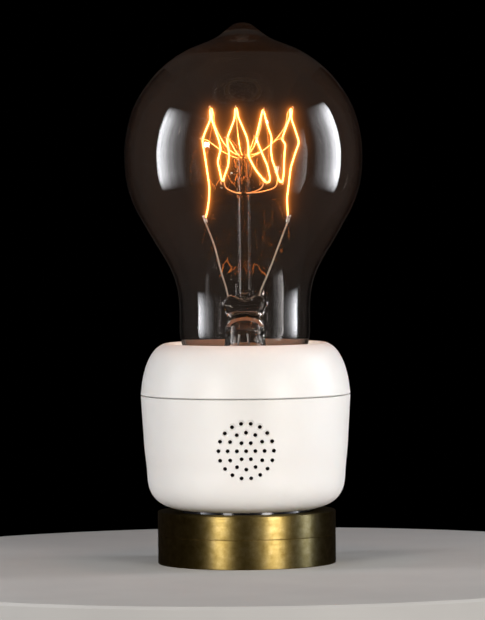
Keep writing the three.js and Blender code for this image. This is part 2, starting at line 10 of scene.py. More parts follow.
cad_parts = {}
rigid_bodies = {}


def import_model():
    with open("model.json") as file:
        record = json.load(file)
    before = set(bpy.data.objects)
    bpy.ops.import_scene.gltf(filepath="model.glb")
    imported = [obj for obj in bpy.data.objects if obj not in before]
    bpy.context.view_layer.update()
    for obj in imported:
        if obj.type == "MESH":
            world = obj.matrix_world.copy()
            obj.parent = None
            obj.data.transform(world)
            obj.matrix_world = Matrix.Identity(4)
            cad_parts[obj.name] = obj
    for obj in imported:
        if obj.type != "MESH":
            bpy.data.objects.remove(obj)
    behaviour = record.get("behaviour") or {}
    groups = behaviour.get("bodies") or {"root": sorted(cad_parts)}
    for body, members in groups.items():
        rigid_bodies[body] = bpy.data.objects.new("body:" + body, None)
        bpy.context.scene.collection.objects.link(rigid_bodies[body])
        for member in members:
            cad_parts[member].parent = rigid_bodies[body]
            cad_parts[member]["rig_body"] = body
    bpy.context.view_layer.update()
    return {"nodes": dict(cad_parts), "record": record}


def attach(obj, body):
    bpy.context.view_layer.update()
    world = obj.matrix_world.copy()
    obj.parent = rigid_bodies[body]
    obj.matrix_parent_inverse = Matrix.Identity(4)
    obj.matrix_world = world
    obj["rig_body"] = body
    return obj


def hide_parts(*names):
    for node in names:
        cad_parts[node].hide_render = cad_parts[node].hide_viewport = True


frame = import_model()
MM = 0.001
scene = bpy.context.scene
for o in list(bpy.data.objects):
    if o.name in ("Cube", "Light", "Camera") and o.get("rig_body") is None and not o.name.startswith("body:"):
        bpy.data.objects.remove(o)

# ------------------------------------------------------------------ camera
camera_data = bpy.data.cameras.new("camera")
camera_data.sensor_width = 36.0
camera_data.lens = 261.3
camera_data.clip_start = 0.05
camera_data.clip_end = 20.0
camera = bpy.data.objects.new("camera", camera_data)
scene.collection.objects.link(camera)
camera.matrix_world = (
    Matrix.Translation((-0.00058, -1.142, 0.101))
    @ Matrix.Rotation(math.radians(90 - 1.845), 4, "X")
    @ Matrix.Rotation(math.radians(-0.534), 4, "Z")
)
scene.camera = camera

# ------------------------------------------------------------- mesh helpers
PITCH = 25.4 / 7


def new_object(name, mesh):
    o = bpy.data.objects.new(name, mesh)
    scene.collection.objects.link(o)
    return o


def shade(o, angle=32):
    o.data.polygons.foreach_set("use_smooth", [True] * len(o.data.polygons))
    o.data.set_sharp_from_angle(angle=math.radians(angle))
    o.data.update()
    return o


def lathe(name, profile, segments=128, closed=None, shift=None, angle=32, smooth=True):
    """A turned body about Z from (radius, z) in mm. A profile that starts off the axis is closed on itself."""
    rings = [(max(r, 0.0), z) for r, z in profile]
    if closed is None:
        closed = rings[0][0] > 1e-6 or rings[-1][0] > 1e-6
    verts, index = [], []
    for r, z in rings:
        if r < 1e-6:
            index.append([len(verts)] * segments)
            verts.append((0.0, 0.0, z * MM))
            continue
        row = []
        for i in range(segments):
            a = 2 * math.pi * i / segments
            rr, zz = (r, z) if shift is None else shift(r, z, a)
            row.append(len(verts))
            verts.append((rr * math.cos(a) * MM, rr * math.sin(a) * MM, zz * MM))
        index.append(row)
    faces = []
    count = len(rings)
    for j in range(count if closed else count - 1):
        a_row, b_row = index[j], index[(j + 1) % count]
        for i in range(segments):
            k = (i + 1) % segments
            quad = [a_row[i], a_row[k], b_row[k], b_row[i]]
            quad = [v for n, v in enumerate(quad) if v not in quad[:n]]
            if len(quad) >= 3:
                faces.append(quad)
    mesh = bpy.data.meshes.new(name)
    mesh.from_pydata(verts, [], faces)
    mesh.validate()
    mesh.update()
    face_out(mesh)
    o = new_object(name, mesh)
    return shade(o, angle) if smooth else o


def face_out(mesh):
    volume = 0.0
    for p in mesh.polygons:
        vs = [mesh.vertices[i].co for i in p.vertices]
        for i in range(1, len(vs) - 1):
            volume += vs[0].dot(vs[i].cross(vs[i + 1]))
    if volume < 0:
        mesh.flip_normals()


def bspline(points, spans, samples):
    """A least-squares cubic B-spline through noisy (r, z) points, ends held: smooth enough for clear reflections."""
    p = np.array(points, float)
    chord = np.concatenate([[0], np.cumsum(np.linalg.norm(np.diff(p, axis=0), axis=1))])
    t = chord / chord[-1] * spans

    def basis(u):
        rows = np.zeros((len(u), spans + 3))
        for n, x in enumerate(u):
            k = min(int(x), spans - 1)
            f = x - k
            rows[n, k : k + 4] = [
                (1 - f) ** 3 / 6,
                (3 * f**3 - 6 * f**2 + 4) / 6,
                (-3 * f**3 + 3 * f**2 + 3 * f + 1) / 6,
                f**3 / 6,
            ]
        return rows

    w = np.ones(len(p))
    w[0] = w[-1] = 200
    a = basis(t) * w[:, None]
    c, *_ = np.linalg.lstsq(a, p * w[:, None], rcond=None)
    return [tuple(q) for q in basis(np.linspace(0, spans, samples)) @ c]


def rounded(profile, radius=0.25, steps=3):
    """The profile with its corners cut to small arcs; a corner next to a short side gets a smaller one."""
    out = []
    count = len(profile)
    for i, here in enumerate(profile):
        before, after = profile[i - 1], profile[(i + 1) % count]
        p, a, b = Vector(here), Vector(before), Vector(after)
        if (i in (0, count - 1) and here[0] < 1e-6) or here[0] < 1e-6:
            out.append(here)
            continue
        da, db = (a - p), (b - p)
        if da.length < 1e-6 or db.length < 1e-6:
            continue
        r = min(radius, 0.45 * da.length, 0.45 * db.length)
        s, e = p + da.normalized() * r, p + db.normalized() * r
        for k in range(steps + 1):
            f = k / steps
            q = s * (1 - f) ** 2 + p * 2 * f * (1 - f) + e * f * f
            out.append((q.x, q.y))
    return out


def tube(name, points, radius, sides=10, steps=8, taper=None):
    """A round wire through points in mm, on a centripetal curve, with closed ends; with no steps, through the points alone."""
    pts = [Vector(p) for p in points]
    path = [] if steps else pts[:-1]
    for i in range(len(pts) - 1 if steps else 0):
        p0 = pts[i - 1] if i else pts[0] * 2 - pts[1]
        p1, p2 = pts[i], pts[i + 1]
        p3 = pts[i + 2] if i + 2 < len(pts) else pts[-1] * 2 - pts[-2]
        t0 = 0.0
        t1 = t0 + max((p1 - p0).length, 1e-6) ** 0.5
        t2 = t1 + max((p2 - p1).length, 1e-6) ** 0.5
        t3 = t2 + max((p3 - p2).length, 1e-6) ** 0.5
        for s in range(steps):
            t = t1 + (t2 - t1) * s / steps
            a1 = p0 * ((t1 - t) / (t1 - t0)) + p1 * ((t - t0) / (t1 - t0))
            a2 = p1 * ((t2 - t) / (t2 - t1)) + p2 * ((t - t1) / (t2 - t1))
            a3 = p2 * ((t3 - t) / (t3 - t2)) + p3 * ((t - t2) / (t3 - t2))
            b1 = a1 * ((t2 - t) / (t2 - t0)) + a2 * ((t - t0) / (t2 - t0))
            b2 = a2 * ((t3 - t) / (t3 - t1)) + a3 * ((t - t1) / (t3 - t1))
            path.append(b1 * ((t2 - t) / (t2 - t1)) + b2 * ((t - t1) / (t2 - t1)))
    path.append(pts[-1])
    verts, faces, up = [], [], None
    for i, p in enumerate(path):
        d = (path[min(i + 1, len(path) - 1)] - path[max(i - 1, 0)]).normalized()
        if up is None:
            up = d.orthogonal().normalized()
        up = (up - d * up.dot(d)).normalized()
        side = d.cross(up)
        r = radius if taper is None else radius * taper(i / (len(path) - 1))
        for k in range(sides):
            a = 2 * math.pi * k / sides
            verts.append((p + (up * math.cos(a) + side * math.sin(a)) * r) * MM)
    for i in range(len(path) - 1):
        for k in range(sides):
            n = (k + 1) % sides
            faces.append([i * sides + k, i * sides + n, (i + 1) * sides + n, (i + 1) * sides + k])
    faces.append(list(range(sides))[::-1])
    faces.append([(len(path) - 1) * sides + k for k in range(sides)])
    mesh = bpy.data.meshes.new(name)
    mesh.from_pydata([tuple(v) for v in verts], [], faces)
    mesh.update()
    face_out(mesh)
    return shade(new_object(name, mesh), 50)


def joined(name, parts):
    """Several meshes as one piece."""
    verts, faces, sharp = [], [], []
    for o in parts:
        base = len(verts)
        verts += [tuple(o.matrix_world @ v.co) for v in o.data.vertices]
        faces += [[base + i for i in p.vertices] for p in o.data.polygons]
        bpy.data.objects.remove(o)
    mesh = bpy.data.meshes.new(name)
    mesh.from_pydata(verts, [], faces)
    mesh.update()
    return shade(new_object(name, mesh), 45)


def cut(o, cutter, angle=32, keep=False):
    m = o.modifiers.new("cut", "BOOLEAN")
    m.operation = "DIFFERENCE"
    m.solver = "EXACT"
    m.object = cutter
    dg = bpy.context.evaluated_depsgraph_get()
    mesh = bpy.data.meshes.new_from_object(o.evaluated_get(dg))
    o.modifiers.clear()
    o.data = mesh
    if not keep:
        bpy.data.objects.remove(cutter)
    return shade(o, angle)


def drill(name, x0, z0, radius, y_mouth, y_end, chamfer=0.1, sides=28):
    """A drill for a hole along Y, with a fine chamfer at its mouth."""
    rings = [(y_mouth - 1.0, radius + chamfer + 1.0), (y_mouth + chamfer, radius), (y_end, radius)]
    verts, faces = [], []
    for y, r in rings:
        for k in range(sides):
            a = 2 * math.pi * k / sides
            verts.append(((x0 + r * math.cos(a)) * MM, y * MM, (z0 + r * math.sin(a)) * MM))
    for j in range(len(rings) - 1):
        for k in range(sides):
            n = (k + 1) % sides
            faces.append([j * sides + k, j * sides + n, (j + 1) * sides + n, (j + 1) * sides + k])
    faces.append(list(range(sides))[::-1])
    faces.append([(len(rings) - 1) * sides + k for k in range(sides)])
    mesh = bpy.data.meshes.new(name)
    mesh.from_pydata(verts, [], faces)
    mesh.update()
    face_out(mesh)
    return new_object(name, mesh)


# ---------------------------------------------------------------- materials
def material(name):
    m = bpy.data.materials.new(name)
    m.use_nodes = True
    nt = m.node_tree
    return m, nt, nt.nodes["Principled BSDF"]


def node(nt, kind, **sockets):
    n = nt.nodes.new(kind)
    for key, value in sockets.items():
        n.inputs[key.replace("_", " ")].default_value = value
    return n


def mapped(nt, scale):
    """Object coordinates, scaled."""
    c = nt.nodes.new("ShaderNodeTexCoord")
    m = nt.nodes.new("ShaderNodeMapping")
    m.inputs["Scale"].default_value = scale
    nt.links.new(c.outputs["Object"], m.inputs["Vector"])
    return m.outputs["Vector"]


def noise(nt, vector, scale, detail=3.0, roughness=0.5):
    n = node(nt, "ShaderNodeTexNoise", Scale=scale, Detail=detail, Roughness=roughness)
    nt.links.new(vector, n.inputs["Vector"])
    return n.outputs["Fac"]


def ramp(nt, value, stops):
    r = nt.nodes.new("ShaderNodeValToRGB")
    e = r.color_ramp.elements
    while len(e) < len(stops):
        e.new(0.5)
    for s, (at, colour) in zip(e, stops):
        s.position = at
        s.color = (*colour, 1.0) if len(colour) == 3 else colour
    nt.links.new(value, r.inputs["Fac"])
    return r.outputs["Color"]


def spread(nt, value, low, high, a=0.0, b=1.0):
    m = nt.nodes.new("ShaderNodeMapRange")
    m.inputs["From Min"].default_value = a
    m.inputs["From Max"].default_value = b
    m.inputs["To Min"].default_value = low
    m.inputs["To Max"].default_value = high
    nt.links.new(value, m.inputs["Value"])
    return m.outputs["Result"]


def bump(nt, p, height, strength, distance):
    b = node(nt, "ShaderNodeBump", Strength=strength, Distance=distance)
    nt.links.new(height, b.inputs["Height"])
    nt.links.new(b.outputs["Normal"], p.inputs["Normal"])
    return b


def plain(name, low, high, rough=(0.35, 0.5), metallic=0.0, scale=900.0, grain=0.08, coat=0.0, distance=0.00004):
    """Moulded or plated finish: a slow colour drift, uneven gloss and a fine skin."""
    m, nt, p = material(name)
    v = mapped(nt, (1, 1, 1))
    slow = noise(nt, v, scale / 6, 3)
    fine = noise(nt, v, scale * 3, 4, 0.6)
    nt.links.new(ramp(nt, slow, [(0.3, low), (0.7, high)]), p.inputs["Base Color"])
    nt.links.new(spread(nt, fine, *rough, 0.3, 0.7), p.inputs["Roughness"])
    p.inputs["Metallic"].default_value = metallic
    p.inputs["Coat Weight"].default_value = coat
    bump(nt, p, fine, grain, distance)
    return m


def white_plastic():
    m, nt, p = material("white_plastic")
    v = mapped(nt, (1, 1, 1))
    drift = noise(nt, v, 60, 2)
    skin = noise(nt, v, 2600, 3, 0.6)
    smear = noise(nt, v, 240, 4, 0.55)
    paint_tone = ramp(nt, drift, [(0.3, (0.86, 0.835, 0.80)), (0.7, (0.885, 0.865, 0.835))])
    # painted shade: seen in the polish of the globe its base colour is swapped for a near-black one, as the floor's is
    rays = nt.nodes.new("ShaderNodeLightPath")
    painted_shade_mask = nt.nodes.new("ShaderNodeMath")
    painted_shade_mask.operation = "GREATER_THAN"
    painted_shade_mask.inputs[1].default_value = 0.5
    nt.links.new(rays.outputs["Glossy Depth"], painted_shade_mask.inputs[0])
    tone = nt.nodes.new("ShaderNodeMix")
    tone.data_type = "RGBA"
    nt.links.new(painted_shade_mask.outputs[0], tone.inputs[0])
    nt.links.new(paint_tone, [i for i in tone.inputs if i.name == "A" and i.type == "RGBA"][0])
    # painted shade: the near-black base colour used in reflections
    [i for i in tone.inputs if i.name == "B" and i.type == "RGBA"][0].default_value = (0.05, 0.045, 0.04, 1)
    nt.links.new([o for o in tone.outputs if o.type == "RGBA"][0], p.inputs["Base Color"])
    nt.links.new(spread(nt, smear, 0.36, 0.46, 0.3, 0.7), p.inputs["Roughness"])
    p.inputs["Specular IOR Level"].default_value = 0.5
    p.inputs["Subsurface Weight"].default_value = 0.12
    p.inputs["Subsurface Radius"].default_value = (0.0012, 0.0009, 0.0007)
    p.inputs["Subsurface Scale"].default_value = 1.0
    bump(nt, p, skin, 0.035, 0.00003)
    return m


def brushed_brass():
    m, nt, p = material("brushed_brass")
    lines = noise(nt, mapped(nt, (1, 1, 34)), 120, 4, 0.7)
    fine = noise(nt, mapped(nt, (1, 1, 12)), 620, 3, 0.7)
    blotch = noise(nt, mapped(nt, (1, 1, 1)), 420, 5, 0.65)
    nt.links.new(
        ramp(nt, blotch, [(0.3, (0.30, 0.205, 0.055)), (0.5, (0.40, 0.29, 0.095)), (0.72, (0.52, 0.39, 0.16))]),
        p.inputs["Base Color"],
    )
    both = nt.nodes.new("ShaderNodeMath")
    both.operation = "ADD"
    nt.links.new(lines, both.inputs[0])
    nt.links.new(fine, both.inputs[1])
    nt.links.new(spread(nt, both.outputs[0], 0.34, 0.5, 0.7, 1.3), p.inputs["Roughness"])
    p.inputs["Metallic"].default_value = 1.0
    p.inputs["Anisotropic"].default_value = 0.85
    p.inputs["Anisotropic Rotation"].default_value = 0.25
    t = nt.nodes.new("ShaderNodeTangent")
    t.direction_type = "RADIAL"
    t.axis = "Z"
    nt.links.new(t.outputs["Tangent"], p.inputs["Tangent"])
    bump(nt, p, both.outputs[0], 0.35, 0.00003)
    return m


def clear_glass(name, tint, haze=0.02, wave_height=0.12, roughness=0.0):
    """Blown glass under a trace of smoke. Lamps shine through it, so that what it encloses is lit."""
    m, nt, p = material(name)
    v = mapped(nt, (1, 1, 0.6))
    wave = noise(nt, v, 42, 2, 0.4)
    cloud = noise(nt, mapped(nt, (1, 1, 0.35)), 90, 5, 0.6)
    p.inputs["Base Color"].default_value = (*tint, 1.0)
    p.inputs["Roughness"].default_value = roughness
    p.inputs["IOR"].default_value = 1.5
    nt.links.new(spread(nt, cloud, 1 - 0.5 * haze, 1 - 1.5 * haze, 0.3, 0.7), p.inputs["Transmission Weight"])
    bump(nt, p, wave, wave_height, 0.0004)
    out = nt.nodes["Material Output"]
    path = nt.nodes.new("ShaderNodeLightPath")
    clear = node(nt, "ShaderNodeBsdfTransparent", Color=(*tint, 1.0))
    mix = nt.nodes.new("ShaderNodeMixShader")
    nt.links.new(path.outputs["Is Shadow Ray"], mix.inputs[0])
    nt.links.new(p.outputs[0], mix.inputs[1])
    nt.links.new(clear.outputs[0], mix.inputs[2])
    nt.links.new(mix.outputs[0], out.inputs["Surface"])
    return m


def glowing(name, core, strength):
    m, nt, p = material(name)
    grain = noise(nt, mapped(nt, (1, 1, 1)), 700, 3)
    p.inputs["Base Color"].default_value = (0.12, 0.1, 0.09, 1)
    p.inputs["Roughness"].default_value = 0.6
    nt.links.new(ramp(nt, grain, [(0.3, tuple(c * 0.85 for c in core)), (0.7, core)]), p.inputs["Emission Color"])
    p.inputs["Emission Strength"].default_value = strength
    return m


def drawn_wire(name, low, high, rough=(0.25, 0.45), metallic=1.0):
    m, nt, p = material(name)
    v = mapped(nt, (1, 1, 1))
    n = noise(nt, v, 1400, 4, 0.6)
    nt.links.new(ramp(nt, n, [(0.35, low), (0.65, high)]), p.inputs["Base Color"])
    nt.links.new(spread(nt, n, *rough, 0.3, 0.7), p.inputs["Roughness"])
    p.inputs["Metallic"].default_value = metallic
    bump(nt, p, n, 0.15, 0.00002)
    return m


MAT = {
    "white_plastic": white_plastic(),
    "collar_brass": brushed_brass(),
    "spring_brass": plain("spring_brass", (0.60, 0.44, 0.20), (0.72, 0.56, 0.30), (0.22, 0.38), 1.0),
    "nickel": plain("nickel", (0.56, 0.55, 0.52), (0.68, 0.67, 0.64), (0.2, 0.36), 1.0),
    "steel": plain("steel", (0.38, 0.39, 0.41), (0.52, 0.53, 0.55), (0.3, 0.45), 1.0),
    "porcelain": plain("porcelain", (0.72, 0.68, 0.61), (0.80, 0.77, 0.71), (0.3, 0.5), coat=0.2),
    "black_insulator": plain("black_insulator", (0.012, 0.012, 0.014), (0.03, 0.03, 0.034), (0.08, 0.2), coat=0.4),
    "board": plain("board", (0.02, 0.10, 0.05), (0.035, 0.15, 0.08), (0.35, 0.5), coat=0.3),
    "black_part": plain("black_part", (0.015, 0.015, 0.017), (0.035, 0.035, 0.04), (0.4, 0.6)),
    "yellow_part": plain("yellow_part", (0.58, 0.41, 0.06), (0.68, 0.5, 0.09), (0.35, 0.5)),
    "blue_part": plain("blue_part", (0.02, 0.07, 0.24), (0.035, 0.1, 0.32), (0.2, 0.35), coat=0.3),
    "ceramic_part": plain("ceramic_part", (0.62, 0.57, 0.46), (0.72, 0.67, 0.56), (0.4, 0.6)),
    "lens": plain("lens", (0.75, 0.78, 0.72), (0.85, 0.88, 0.82), (0.1, 0.2), coat=0.5),
    "mesh_cloth": plain("mesh_cloth", (0.02, 0.018, 0.016), (0.04, 0.036, 0.032), (0.7, 0.9), scale=4000, grain=0.6, distance=0.0001),
    "red_wire": plain("red_wire", (0.38, 0.02, 0.015), (0.46, 0.035, 0.025), (0.35, 0.5)),
    "white_wire": plain("white_wire", (0.66, 0.66, 0.63), (0.76, 0.76, 0.73), (0.35, 0.5)),
    "clear_glass": clear_glass("clear_glass", (0.93, 0.905, 0.88), 0.0022),
    "stem_glass": clear_glass("stem_glass", (0.97, 0.95, 0.92), 0.001, 0.05),
    "cement": plain("cement", (0.48, 0.42, 0.33), (0.60, 0.54, 0.44), (0.8, 0.95), grain=0.5),
    "filament_metal": glowing("filament_metal", (1.0, 0.27, 0.035), 11.0),
    "support_wire": drawn_wire("support_wire", (0.52, 0.34, 0.18), (0.68, 0.48, 0.28), (0.4, 0.6), 0.3),
    "lead_wire": drawn_wire("lead_wire", (0.24, 0.2, 0.165), (0.42, 0.37, 0.32), (0.3, 0.5), 0.7),
}


def paint(o, look):
    o.data.materials.clear()
    o.data.materials.append(MAT[look])
    return o


def piece(o, look, body, *nodes, slot=None):
    paint(o, look)
    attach(o, body)
    if nodes:
        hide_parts(*nodes)
    return o


slots = {s["node"]: s["material_slot"] for s in frame["record"]["subparts"]}
for name, o in frame["nodes"].items():
    look = slots.get(name, "steel")
    o.data.materials.clear()
    o.data.materials.append(MAT[look])
    shade(o, 30)

# ------------------------------------------------------------ brass collar
groove = 7.4
collar = rounded([
    (21.2, 0.0), (22.6, 0.0), (22.6, groove - 0.13), (22.45, groove - 0.04), (22.45, groove + 0.04),
    (22.6, groove + 0.13), (22.6, 13.3), (17.2, 13.3), (17.2, 12.1), (21.2, 12.1)], 0.22, 4)
piece(lathe("brass_collar_turned", collar, 256), "collar_brass", "lampholder", "brass_collar")

# ------------------------------------------------- the two moulded socket cups
holder_cup = rounded([
    (0.0, 1.9), (20.6, 1.9), (20.6, 3.7), (16.3, 3.7), (16.3, 25.2), (14.4, 25.2), (14.4, 5.5), (8.8, 5.5), (8.8, 3.3), (0.0, 3.3)], 0.35, 4)
piece(lathe("holder_cup_moulded", holder_cup, 160), "black_insulator", "lampholder", "holder_body")
socket_cup = rounded([
    (0.0, 29.1), (14.2, 29.1), (14.2, 27.9), (15.6, 27.9), (15.6, 51.3), (14.4, 51.3), (14.4, 32.7), (8.8, 32.7), (8.8, 30.5), (0.0, 30.5)], 0.3, 4)
piece(lathe("socket_cup_moulded", socket_cup, 160), "porcelain", "smart_adapter", "socket_insulator")

# -------------------------------------------------------- adapter housings
SEAM = 42.8
lower_line = bspline([
    (17.8, 13.9), (19.2, 14.15), (20.4, 14.75), (21.6, 15.35), (22.6, 16.05), (23.4, 16.75), (24.0, 17.5), (24.4, 18.35),
    (24.7, 19.4), (24.9, 20.6), (25.05, 21.8), (25.3, 24.0), (25.5, 26.2), (25.7, 28.6), (25.9, 31.0),
    (26.1, 34.0), (26.3, 37.5), (26.45, 40.0), (26.6, SEAM - 0.3)], 7, 44)
upper_line = bspline([
    (26.6, SEAM + 0.3), (26.45, 44.3), (26.25, 46.0), (25.95, 47.6), (25.55, 49.2), (25.05, 50.7), (24.4, 52.1),
    (23.75, 53.3), (22.9, 54.35), (22.0, 55.1), (21.2, 55.6), (20.5, 55.85), (20.0, 55.9), (19.6, 55.72), (19.5, 55.3)], 7, 44)
lower = [
    (17.6, 14.15), *lower_line, (26.55, SEAM - 0.2), (26.4, SEAM - 0.12),
    (24.9, SEAM - 0.12), (24.85, 44.3), (24.2, 44.3), (24.2, 40.5), (23.9, 34.0), (23.6, 28.0), (23.2, 22.0), (21.4, 17.0),
    (18.8, 16.2), (18.8, 27.6), (9.8, 27.6), (9.8, 9.9), (11.45, 9.9), (11.45, 26.2), (17.6, 26.2)]
lower_shell = lathe("lower_housing_moulded", lower, 192)
RINGS = [(0.0, 1), (2.3, 6), (4.6, 12), (6.9, 18)]
GRILLE_Z = 29.9
drills = []
for ring, count in RINGS:
    for i in range(count):
        a = 2 * math.pi * i / count
        x, z = ring * math.cos(a), GRILLE_Z + ring * math.sin(a)
        surface = -math.sqrt(25.84**2 - x * x)
        drills.append(drill("drill", x, z, 0.5, surface, -20.5))
lower_shell = cut(lower_shell, joined("drills", drills), 30)
bosses = []
for angle in (30, 150, 270):
    a = math.radians(angle)
    b = lathe("boss", [(1.05, 27.7), (1.75, 27.7), (1.75, 49.6), (1.05, 49.6)], 24)
    b.data.transform(Matrix.Translation((17.75 * MM * math.cos(a), 17.75 * MM * math.sin(a), 0)))
    bosses.append(b)
piece(lower_shell, "white_plastic", "smart_adapter", "lower_housing")
piece(joined("housing_bosses", bosses), "white_plastic", "smart_adapter")

upper = [
    *upper_line, (19.5, 51.5), (16.0, 51.5), (16.0, 50.0), (20.8, 50.0), (20.8, 53.7), (22.6, 52.4), (24.0, 49.2),
    (25.2, 45.2), (25.2, SEAM + 0.12), (26.4, SEAM + 0.12), (26.55, SEAM + 0.2)]
upper_shell = lathe("upper_housing_moulded", upper, 192)
for angle in (30, 150, 270):
    a = math.radians(angle)
    c = lathe("c", [(0, 48), (1.05, 48), (1.05, 53), (0, 53)], 24)
    c.data.transform(Matrix.Translation((17.75 * MM * math.cos(a), 17.75 * MM * math.sin(a), 0)))
    upper_shell = cut(upper_shell, c)
piece(upper_shell, "white_plastic", "smart_adapter", "upper_housing")


# -------------------------------------------------------- caps and sockets
def threads(z0, z1, depth, inwards):
    def shift(r, z, a):
        run = PITCH / 2
        on = max(0.0, min(1.0, (z - z0) / run, (z1 - z) / run))
        wave = math.cos(2 * math.pi * z / PITCH - a)
        wave = math.copysign(abs(wave) ** 0.8, wave)
        if inwards and abs(r - 13.55) < 0.03 or not inwards and abs(r - 12.35) < 0.03:
            r += on * depth * ((wave - 1) if inwards else (wave + 1)) / 2
        return r, z

    return shift


def rows(r, z0, z1, step=0.3):
    n = max(2, int(abs(z1 - z0) / step))
    return [(r, z0 + (z1 - z0) * i / n) for i in range(n + 1)]


def screw_cap(name, rise, flared):
    z0, z1 = 10.2 + rise, 24.6 + rise
    outside = [(11.85, 8.8 + rise), (12.1, 8.95 + rise), (12.3, 9.25 + rise), (12.35, 9.6 + rise), *rows(12.35, z0, z1)]
    if flared:
        top = [(12.35, 51.9), (12.5, 52.1), (12.8, 52.25), (12.92, 52.5), (12.92, 52.8), (12.75, 52.9), (12.55, 52.8), (12.45, 52.5), (11.85, 52.2)]
    else:
        top = [(12.35, 25.7), (11.85, 25.7)]
    return lathe(name, [*outside, *top], 96, shift=threads(z0, z1, 0.8, False), angle=50)


def socket_shell(name, rise):
    z0, z1 = 7.5 + rise, 23.4 + rise
    line = [(10.4, 5.8 + rise), (14.0, 5.8 + rise), (14.0, 24.6 + rise), (13.65, 24.6 + rise),
            *rows(13.55, z1, z0), (13.5, 6.25 + rise), (10.4, 6.25 + rise)]
    return lathe(name, line, 96, shift=threads(z0, z1, 0.8, True), angle=50)


RISE = 27.2
piece(screw_cap("bulb_cap_rolled", RISE, True), "spring_brass", "bulb", "bulb_screw_cap")
piece(screw_cap("base_shell_rolled", 0.0, False), "nickel", "smart_adapter", "base_screw_shell")
piece(socket_shell("socket_shell_rolled", RISE), "spring_brass", "smart_adapter", "socket_screw_shell")
piece(socket_shell("holder_shell_rolled", 0.0), "spring_brass", "lampholder", "holder_screw_shell")

# -------------------------------------------------------------- glass bulb
silhouette = [
    (16.3, 56.9), (16.5, 58.2), (16.55, 61.0), (16.55, 64.0), (16.65, 66.7), (16.95, 69.2), (17.55, 71.8), (18.5, 74.3),
    (19.8, 76.9), (21.3, 79.4), (22.8, 81.9), (24.3, 84.5), (25.75, 87.0), (27.1, 89.5), (28.3, 92.1), (29.1, 94.6),
    (29.7, 97.2), (30.0, 99.7), (30.13, 102.2), (30.13, 104.8), (29.95, 107.3), (29.5, 109.8), (28.9, 112.4), (28.05, 114.9),
    (26.9, 117.5), (25.35, 120.0), (23.5, 122.5), (21.2, 125.1), (18.1, 127.6), (16.1, 129.1), (14.1, 130.1)]
shoulder = [(10.6, 44.0), (10.6, 48.0), (10.6, 51.2), (10.8, 52.2), (11.5, 52.95), (12.7, 53.35), (14.0, 53.65), (15.2, 54.3), (15.95, 55.4), (16.3, 56.9)]
nipple = [(14.1, 130.1), (12.4, 130.95), (10.7, 131.6), (9.2, 132.15), (7.8, 132.75), (6.6, 133.4), (5.5, 134.1), (4.6, 134.8),
          (3.8, 135.45), (3.0, 136.05), (2.1, 136.6), (1.1, 136.98), (0.0, 137.1)]
body_line = bspline([*shoulder[6:-1], *silhouette, *nipple[1:]], 26, 170)
body_line[-1] = (0.0, 137.1)
outer = [*shoulder[:6], *body_line]
WALL = 0.75
inner = [(9.85, 44.0)]
for i in range(1, len(outer) - 1):
    (r0, z0), (r1, z1) = outer[i - 1], outer[i + 1]
    length = math.hypot(r1 - r0, z1 - z0) or 1.0
    nr, nz = (z1 - z0) / length, -(r1 - r0) / length
    wall = WALL + 2.7 * max(0.0, (outer[i][1] - 129.5) / 7.6) ** 1.3  # thickens into the drawn tip
    q = (outer[i][0] - nr * wall, outer[i][1] - nz * wall)
    if q[0] > 0.25 and q[1] > 44.2:
        inner.append(q)
end = inner[-1]
inner += [(end[0] * 0.7, end[1] + 0.12), (end[0] * 0.35, end[1] + 0.2), (0.0, end[1] + 0.22)]
envelope = lathe("glass_envelope_blown", [*outer, *reversed(inner)], 160, closed=True, angle=60)
piece(envelope, "clear_glass", "bulb", "glass_envelope")


def pinch(z):
    return 1 - 0.68 * max(0.0, min(1.0, (z - 60.4) / 3.4))


stem_line = bspline([
    (9.3, 44.4), (9.35, 45.1), (8.5, 47.0), (7.5, 48.8), (6.6, 50.6), (5.85, 52.3), (5.4, 54.0), (5.2, 55.8), (5.1, 57.5),
    (5.05, 59.2), (4.95, 60.6), (4.6, 61.6), (4.5, 62.3), (4.75, 63.1), (5.2, 64.0), (5.6, 64.9), (5.85, 65.7), (5.95, 66.4),
    (5.8, 67.0), (5.2, 67.35), (4.0, 67.4), (2.4, 67.4), (0.0, 67.4)], 14, 70)
bore_line = bspline([
    (0.0, 60.2), (1.2, 60.1), (2.4, 59.6), (3.3, 58.7), (3.8, 57.4), (4.05, 55.8), (4.3, 54.0), (4.8, 52.0), (5.5, 50.4),
    (6.5, 48.2), (7.4, 46.6), (8.6, 44.4)], 8, 34)
stem_line[-1] = (0.0, stem_line[-1][1])
bore_line[0] = (0.0, bore_line[0][1])
stem = lathe("glass_stem_pressed", [*stem_line, *bore_line], 96, closed=True, angle=60)
for v in stem.data.vertices:
    z = v.co.z / MM
    v.co.y *= pinch(z)
    if z > 64.5:  # the pinch's top edge stands higher over each lead wire
        lobe = (1 - math.cos(2 * math.pi * min(1.0, abs(v.co.x) / (6.6 * MM)))) / 2
        v.co.z += (1.5 * lobe - 0.9) * MM * (z - 64.5) / 2.9
stem.data.update()
piece(stem, "stem_glass", "bulb", "glass_stem", slot="clear_glass")

arbor_line = [(0, 66.62), (1.9, 66.62), (1.72, 67.0), (1.66, 67.8), (1.65, 69.0), *rows(1.65, 70, 92.0, 2.0),
              (1.68, 92.9), (1.85, 93.4), (1.95, 93.9), (1.85, 94.4), (1.68, 94.9), *rows(1.65, 95.8, 102.0, 2.0),
              (1.7, 102.6), (1.95, 103.1), (2.1, 103.6), (2.05, 104.2), (1.75, 104.9), (1.2, 105.3), (0.5, 105.4), (0, 105.4)]
piece(lathe("glass_arbor_rod", arbor_line, 48, angle=60), "stem_glass", "bulb", "glass_arbor", slot="clear_glass")

